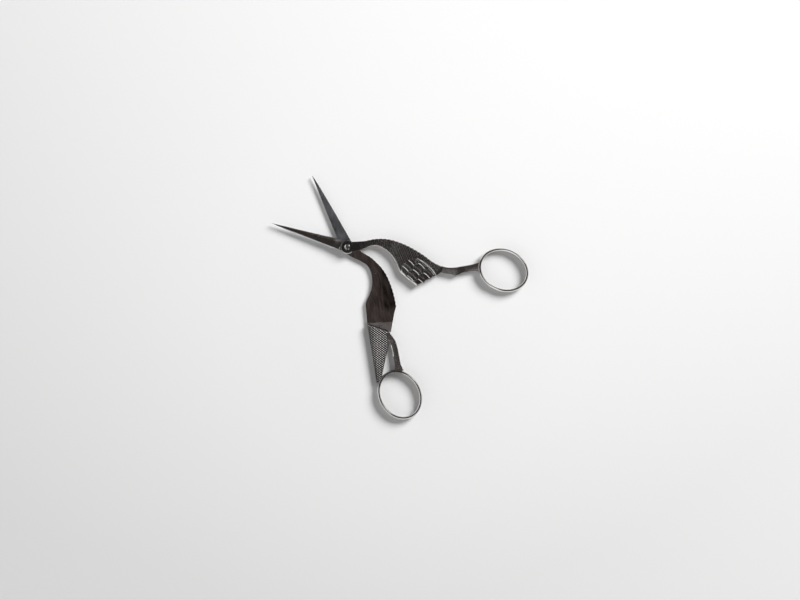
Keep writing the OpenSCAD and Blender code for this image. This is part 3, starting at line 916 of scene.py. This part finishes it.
def mapped(tree, value, *ends, **how):
    """A value mapped from one range to 0 to 1, or to another range."""
    return add(tree, "MapRange", value, *ends, **how).outputs[0]


def mix(tree, share_of, low, high):
    """Colour between two others."""
    return add(tree, "Mix", data_type="RGBA", inputs={0: share_of, 6: low, 7: high}).outputs[2]


def noise(tree, vector, scale=1.0, detail=2.0, roughness=0.5):
    """Noise of a vector."""
    settings = {"Vector": vector, "Scale": scale, "Detail": detail, "Roughness": roughness}
    return add(tree, "TexNoise", inputs=settings).outputs["Fac"]


def drawn_noise(tree, vector, turn, stretch, **how):
    """Noise drawn out one way: the vector is turned about the z axis and multiplied by the stretch."""
    turned = add(tree, "VectorRotate", vector, rotation_type="Z_AXIS", inputs={"Angle": turn}).outputs[0]
    return noise(tree, add(tree, "VectorMath", turned, stretch, operation="MULTIPLY").outputs[0], **how)


def attribute(tree, name):
    """One of the mesh's own marks."""
    return add(tree, "Attribute", attribute_name=name).outputs["Fac"]


def grinding_lines(tree, given):
    """Fine straight lines left by grinding: noise drawn out along the lines."""
    lines = given["Lines per Metre"]
    stretch = add(tree, "CombineXYZ", lines, maths(tree, "MULTIPLY", lines, 0.02), 40.0).outputs[0]
    height = drawn_noise(tree, given["Vector"], given["Direction"], stretch)
    return {"Height": height, "Mask": mapped(tree, height, 0.35, 0.7)}


def handling_marks(tree, given):
    """Marks of handling: stray hair scratches in two directions, and soft smudges."""
    scratches = [
        mapped(tree, drawn_noise(tree, given["Vector"], turn, stretch, detail=1.0), 0.71, 0.78)
        for turn, stretch in ((0.6, (2600.0, 90.0, 60.0)), (2.3, (3100.0, 110.0, 60.0)))
    ]
    size = add(tree, "CombineXYZ", *[given["Smudge Size"]] * 3).outputs[0]
    scaled = add(tree, "VectorMath", given["Vector"], size, operation="DIVIDE").outputs[0]
    smudges = mapped(tree, noise(tree, scaled, detail=3.0), 0.4, 0.68)
    return {"Scratches": maths(tree, "MAXIMUM", *scratches), "Smudges": smudges}


def relief_tarnish_and_shade(tree, given):
    """Dark film in hollows and bright wear on ridges, from the mesh's own marks, broken up by noise; in places
    the film is painted shade and the wear a painted highlight.
    """
    hollow, ridge = attribute(tree, "hollow"), attribute(tree, "ridge")
    grain = noise(tree, given["Vector"], scale=900.0, detail=3.0)
    uneven = maths(tree, "MULTIPLY", maths(tree, "SUBTRACT", grain, 0.5), 0.5)
    film = maths(tree, "ADD", maths(tree, "ADD", hollow, given["Spread"]), uneven, clamp=True)
    film = maths(tree, "MULTIPLY", film, given["Strength"], clamp=True)
    dark = mix(tree, film, given["Clean"], given["Film"])
    return {"Colour": mix(tree, ridge, dark, given["Worn"]), "Film Mask": film, "Worn Mask": ridge}


def polished_unevenness(tree, given):
    """Slight waviness of a hand-polished face, longer one way than the other."""
    across = maths(tree, "DIVIDE", 1.0, given["Size"])
    stretch = add(tree, "CombineXYZ", across, maths(tree, "MULTIPLY", across, 0.3), across).outputs[0]
    return {"Height": drawn_noise(tree, given["Vector"], given["Direction"], stretch, roughness=0.4)}


# The shared node groups: what makes each one, and its inputs beside the vector
GROUPS = {
    "Grinding Lines": (grinding_lines, {"Direction": 0.0, "Lines per Metre": 6000.0}),
    "Handling Marks": (handling_marks, {"Smudge Size": 0.006}),
    "Relief Tarnish and Shade": (relief_tarnish_and_shade, {
        "Clean": (0.6, 0.6, 0.6, 1), "Film": (0.03, 0.03, 0.03, 1), "Worn": (0.8, 0.8, 0.8, 1),
        "Spread": 0.0, "Strength": 1.0,
    }),
    "Polished Unevenness": (polished_unevenness, {"Direction": 0.0, "Size": 0.004}),
}


def make_group(name, build, inputs):
    """Makes a shader node group of a vector and its inputs, with the outputs that build gives by name."""
    tree = bpy.data.node_groups.new(name, "ShaderNodeTree")
    tree.interface.new_socket("Vector", in_out="INPUT", socket_type="NodeSocketVector")
    for socket, default in inputs.items():
        kind = "NodeSocketColor" if isinstance(default, tuple) else "NodeSocketFloat"
        tree.interface.new_socket(socket, in_out="INPUT", socket_type=kind).default_value = default
    made = build(tree, tree.nodes.new("NodeGroupInput").outputs)
    for socket in made:
        kind = "NodeSocketColor" if socket == "Colour" else "NodeSocketFloat"
        tree.interface.new_socket(socket, in_out="OUTPUT", socket_type=kind)
    out = tree.nodes.new("NodeGroupOutput")
    for socket, value in made.items():
        tree.links.new(value, out.inputs[socket])


def grouped(tree, name, **inputs):
    """Outputs of a shared node group; an underscore in an input's name stands for a space."""
    named = {key.replace("_", " "): value for key, value in inputs.items()}
    return add(tree, "Group", node_tree=bpy.data.node_groups[name], inputs=named).outputs


def steel(name, finish, base, roughness, grind=0.0, direction=0.0, film=0.0, spread=0.0, wave=0.0,
          wave_size=0.004, smudge=0.1, streak=0.0):
    """A steel finish: grinding lines, handling marks, streaks, tarnish and painted light and shade over one
    metal shader.
    """
    tree = cleared(bpy.data.materials.new(name))
    here = add(tree, "TexCoord").outputs["Object"]
    lines = grouped(tree, "Grinding Lines", Vector=here, Direction=direction, Lines_per_Metre=LINES_PER_METRE)
    marks = grouped(tree, "Handling Marks", Vector=here, Smudge_Size=SMUDGE_SIZE)
    relief = grouped(
        tree, "Relief Tarnish and Shade", Vector=here, Clean=(*base, 1), Film=(*finish.tarnish, 1),
        Worn=(*[min(1, 1.12 * c) for c in base], 1), Spread=spread, Strength=film,
    )
    waves = grouped(tree, "Polished Unevenness", Vector=here, Direction=direction, Size=wave_size)
    streaks = grouped(tree, "Polished Unevenness", Vector=here, Direction=direction + 0.2, Size=STREAK_SIZE)
    # The mesh's third mark is painted light and shade, and in places wear: it lightens or darkens the colour,
    # and roughens where it is above 0.
    rubbed = attribute(tree, "rubbed")
    rough = summed(
        tree, roughness, (lines["Mask"], 0.08 * grind), (marks["Scratches"], 0.12),
        (marks["Smudges"], smudge), (relief["Film Mask"], 0.22), (maths(tree, "MAXIMUM", rubbed, 0.0), 0.2),
        (relief["Worn Mask"], -0.06), clamp=True,
    )
    height = summed(
        tree, 0.0, (lines["Height"], LINE_HEIGHT * grind), (marks["Scratches"], -SCRATCH_DEPTH),
        (waves["Height"], WAVE_HEIGHT * wave),
    )
    bump = add(tree, "Bump", inputs={"Strength": 1.0, "Distance": 1.0, "Height": height})
    tone = mapped(tree, streaks["Height"], 0.36, 0.64, 1 - streak, 1 + streak)
    tone = maths(tree, "ADD", tone, rubbed)
    shown = add(tree, "VectorMath", relief["Colour"], operation="SCALE", inputs={"Scale": tone})
    shader = add(tree, "BsdfPrincipled", inputs={
        "Base Color": shown.outputs[0], "Metallic": 1.0, "Roughness": rough, "Normal": bump.outputs[0],
    })
    add(tree, "OutputMaterial", shader.outputs[0])


def make_finishes(context):
    """The shared groups and every steel finish of the scissors, made once."""
    if "Relief Tarnish and Shade" in bpy.data.node_groups:
        return
    for name, (build, inputs) in GROUPS.items():
        make_group(name, build, inputs)
    finish = context.scene.stork_finish
    base, flat, ground = tuple(finish.steel), tuple(finish.flat), tuple(finish.ground)
    body, inner = finish.body_roughness, finish.flat_roughness
    turn = context.scene.stork_sizes.opening / 2
    for half, way in (("front", turn), ("back", -turn)):
        steel(f"{half} blade steel", finish, base, finish.blade_roughness, grind=1.0, direction=-way + 0.15,
              film=0.8, wave=0.3, wave_size=0.003, smudge=0.02, streak=0.1)
        steel(f"{half} flat steel", finish, flat, inner, grind=0.5, direction=-way,
              film=0.5, wave=0.6, wave_size=0.0035, smudge=0.05, streak=0.25)
        steel(f"{half} ground steel", finish, ground, inner + 0.14, grind=1.0, direction=-way + 0.3,
              film=0.5, wave=0.5, wave_size=0.0035, streak=0.12)
        steel(f"{half} feathered steel", finish, base, body, film=0.95, spread=0.35, wave=0.3)
        steel(f"{half} leg steel", finish, base, body - 0.02, grind=0.3, direction=-way, wave=0.4)
        steel(f"{half} ring steel", finish, base, finish.ring_roughness, film=0.95, spread=-0.2, wave=0.15,
              smudge=0.06)
        steel(f"{half} boss steel", finish, base, body, grind=0.4, film=0.8, wave=0.2)
    steel("back knurled steel", finish, base, body, film=1.0, spread=0.22, wave=0.1)
    steel("screw steel", finish, tuple(finish.screw), 0.14, film=0.9, wave=0.05)


# Stage

def grey(value):
    """A grey colour."""
    return (value, value, value, 1)


def make_floor(settings):
    """A wide flat floor of pale card, with the lamp's falloff painted on: a little darker away from the scissors
    and at the picture's bottom.
    """
    reach = np.linspace(-3, 3, 3)
    x, y = np.meshgrid(reach, reach)
    mesh = bpy.data.meshes.new("floor")
    mesh.from_pydata(sheet(x, y, 0).reshape(-1, 3).tolist(), [], cells(np.arange(9).reshape(3, 3).T).tolist())
    floor = bpy.data.objects.new("floor", mesh)
    bpy.context.scene.collection.objects.link(floor)
    material = bpy.data.materials.new("pale card")
    tree = cleared(material)
    here = add(tree, "TexCoord").outputs["Object"]
    mottle = noise(tree, here, scale=3.0)
    # Painted falloff of the light: darker away from the scissors and towards the picture's bottom.
    up = PHOTO_TURN + 0.2
    down = add(tree, "VectorMath", here, (-math.sin(up), math.cos(up), 0), operation="DOT_PRODUCT")
    away = add(tree, "VectorMath", here, (*PHOTO_CENTRE, 0), operation="DISTANCE")
    outer = mapped(tree, away.outputs["Value"], 0.08, 0.26)
    fading = mapped(tree, down.outputs["Value"], -0.2, 0.14)
    fading = summed(tree, fading, (outer, -0.6), (mottle, 0.1), clamp=True)
    card = tuple(settings.floor)
    shader = add(tree, "BsdfPrincipled", inputs={
        "Base Color": mix(tree, fading, (*[0.85 * c for c in card], 1), (*card, 1)),
        "Roughness": 0.85, "Specular IOR Level": 0.2,
    })
    add(tree, "OutputMaterial", shader.outputs[0])
    mesh.materials.append(material)


def make_lights(scene, settings):
    """One large soft lamp on the picture's upper right, in a room dark overhead and pale opposite the lamp.

    The steel mirrors a soft bright panel in the lamp's place, not the lamp itself.
    """
    lamp = bpy.data.lights.new("key", "AREA")
    lamp.shape = "DISK"
    lamp.size = settings.key_size
    lamp.energy = settings.key
    lamp.color = (1, 1, 1)
    key = bpy.data.objects.new("key", lamp)
    centre = Vector((*PHOTO_CENTRE, 0))
    azimuth = settings.key_azimuth + PHOTO_TURN
    flat = settings.key_distance * math.cos(settings.key_elevation)
    high = settings.key_distance * math.sin(settings.key_elevation)
    key.location = centre + Vector((flat * math.cos(azimuth), flat * math.sin(azimuth), high))
    key.rotation_euler = (centre - key.location).to_track_quat("-Z", "Y").to_euler()
    key.visible_glossy = False
    scene.collection.objects.link(key)

    scene.world = bpy.data.worlds.new("studio")
    tree = cleared(scene.world)
    direction = add(tree, "TexCoord").outputs["Generated"]

    def part_of(axis, low, high):
        """0 to 1 as the direction's share along an axis goes from low to high."""
        along = add(tree, "VectorMath", direction, tuple(axis), operation="DOT_PRODUCT").outputs["Value"]
        return mapped(tree, along, low, high, interpolation_type="SMOOTHSTEP")

    lamp_side = Vector((math.cos(azimuth), math.sin(azimuth), 0))
    overhead = Vector((0, 0, math.cos(settings.lean))) + math.sin(settings.lean) * lamp_side
    to_lamp = (key.location - centre).normalized()
    panel_edge, panel_full = math.cos(0.24), math.cos(0.1)
    room = mix(tree, part_of(lamp_side, -0.35, 0.35), grey(settings.far_wall), grey(settings.near_wall))
    room = mix(tree, part_of(overhead, 0.6, 0.78), room, (*settings.ceiling, 1))
    room = mix(tree, part_of(to_lamp, panel_edge, panel_full), room, grey(settings.panel))
    paths = add(tree, "LightPath").outputs
    fill = maths(tree, "MULTIPLY_ADD", paths["Is Glossy Ray"], 1 - settings.fill, settings.fill)
    light = add(tree, "Background", inputs={"Color": room, "Strength": fill})
    shown = add(tree, "Background", inputs={"Color": grey(0.92), "Strength": 1.0})
    mixed = add(tree, "MixShader", paths["Is Camera Ray"], light.outputs[0], shown.outputs[0])
    add(tree, "OutputWorld", mixed.outputs[0])


def make_camera(scene, settings):
    """The camera straight above, turned so that the blades point to the picture's upper left."""
    data = bpy.data.cameras.new("camera")
    data.sensor_width = 36
    data.lens = settings.lens
    camera = bpy.data.objects.new("camera", data)
    away = settings.view_width * settings.lens / data.sensor_width
    camera.matrix_world = Matrix.Translation((*PHOTO_CENTRE, away)) @ Matrix.Rotation(PHOTO_TURN, 4, "Z")
    scene.collection.objects.link(camera)
    scene.camera = camera
    scene.view_settings.view_transform = "Standard"


# Operators

class PieceOperator:
    """What every operator shares: undo, the bird with its finishes, and the making of like pieces."""

    bl_options = {"REGISTER", "UNDO"}

    def prepare(self, context):
        make_finishes(context)
        return Bird(millimetres(context.scene.stork_sizes))

    def make(self, context, kind, shells, finishes, halves=HALVES, crease=38):
        bird = self.prepare(context)
        for half in halves:
            names = [f"{half} {finish} steel" for finish in finishes]
            make_piece(f"{half}_{kind}", shells(bird, half), half, bird.mm.opening, names, crease)
        return {"FINISHED"}


class STORK_OT_blades(PieceOperator, bpy.types.Operator):
    """Add both blades"""

    bl_idname = "stork.blades"
    bl_label = "Add Blades"

    def execute(self, context):
        return self.make(context, "blade", blade_shells, ["blade", "ground"], crease=40)


class STORK_OT_bosses(PieceOperator, bpy.types.Operator):
    """Add both bosses about the pivot"""

    bl_idname = "stork.bosses"
    bl_label = "Add Bosses"

    def execute(self, context):
        return self.make(context, "boss", boss_shells, ["boss"])


class STORK_OT_bodies(PieceOperator, bpy.types.Operator):
    """Add both necks and bodies with their wings"""

    bl_idname = "stork.bodies"
    bl_label = "Add Bodies"

    def execute(self, context):
        return self.make(context, "bird", bird_shells, ["feathered", "flat"], crease=50)


class STORK_OT_legs(PieceOperator, bpy.types.Operator):
    """Add both legs"""

    bl_idname = "stork.legs"
    bl_label = "Add Legs"

    def execute(self, context):
        return self.make(context, "leg", leg_shells, ["leg"], crease=60)


class STORK_OT_tail(PieceOperator, bpy.types.Operator):
    """Add the knurled tail"""

    bl_idname = "stork.tail"
    bl_label = "Add Tail"

    def execute(self, context):
        return self.make(context, "tail", tail_shells, ["knurled"], halves=["back"], crease=60)


class STORK_OT_rings(PieceOperator, bpy.types.Operator):
    """Add both finger rings"""

    bl_idname = "stork.rings"
    bl_label = "Add Finger Rings"

    def execute(self, context):
        return self.make(context, "ring", ring_shells, ["ring"])


class STORK_OT_screw(PieceOperator, bpy.types.Operator):
    """Add the slotted pivot screw"""

    bl_idname = "stork.screw"
    bl_label = "Add Screw"

    def execute(self, context):
        bird = self.prepare(context)
        make_piece("slotted_screw", screw_shells(bird), "screw", bird.mm.opening, ["screw steel"], crease=35)
        return {"FINISHED"}


class STORK_OT_stage(PieceOperator, bpy.types.Operator):
    """Add the pale floor, the soft lights and the camera"""

    bl_idname = "stork.stage"
    bl_label = "Add Stage"

    def execute(self, context):
        settings = context.scene.stork_stage
        make_floor(settings)
        make_lights(context.scene, settings)
        make_camera(context.scene, settings)
        return {"FINISHED"}


SETTINGS = {"stork_sizes": StorkSizes, "stork_finish": StorkFinish, "stork_stage": StorkStage}
OPERATORS = (
    STORK_OT_stage, STORK_OT_blades, STORK_OT_bosses, STORK_OT_bodies, STORK_OT_legs, STORK_OT_tail,
    STORK_OT_rings, STORK_OT_screw,
)


class STORK_PT_panel(bpy.types.Panel):
    """Sizes, finishes and pieces of the stork scissors"""

    bl_idname = "STORK_PT_panel"
    bl_label = "Stork Scissors"
    bl_space_type = "VIEW_3D"
    bl_region_type = "UI"
    bl_category = "Stork Scissors"

    def draw(self, context):
        column = self.layout.column(align=True)
        for operator in OPERATORS:
            column.operator(operator.bl_idname)
        for name in SETTINGS:
            box, group = self.layout.box(), getattr(context.scene, name)
            for prop in group.__annotations__:
                box.prop(group, prop)


CLASSES = (*SETTINGS.values(), *OPERATORS, STORK_PT_panel)


def register():
    for item in CLASSES:
        bpy.utils.register_class(item)
    for name, group in SETTINGS.items():
        setattr(bpy.types.Scene, name, PointerProperty(type=group))


def unregister():
    for name in SETTINGS:
        delattr(bpy.types.Scene, name)
    for item in reversed(CLASSES):
        bpy.utils.unregister_class(item)


def main():
    register()
    bpy.ops.stork.stage()
    bpy.ops.stork.blades()
    bpy.ops.stork.bosses()
    bpy.ops.stork.bodies()
    bpy.ops.stork.legs()
    bpy.ops.stork.tail()
    bpy.ops.stork.rings()
    bpy.ops.stork.screw()


if __name__ == "__main__":
    main()
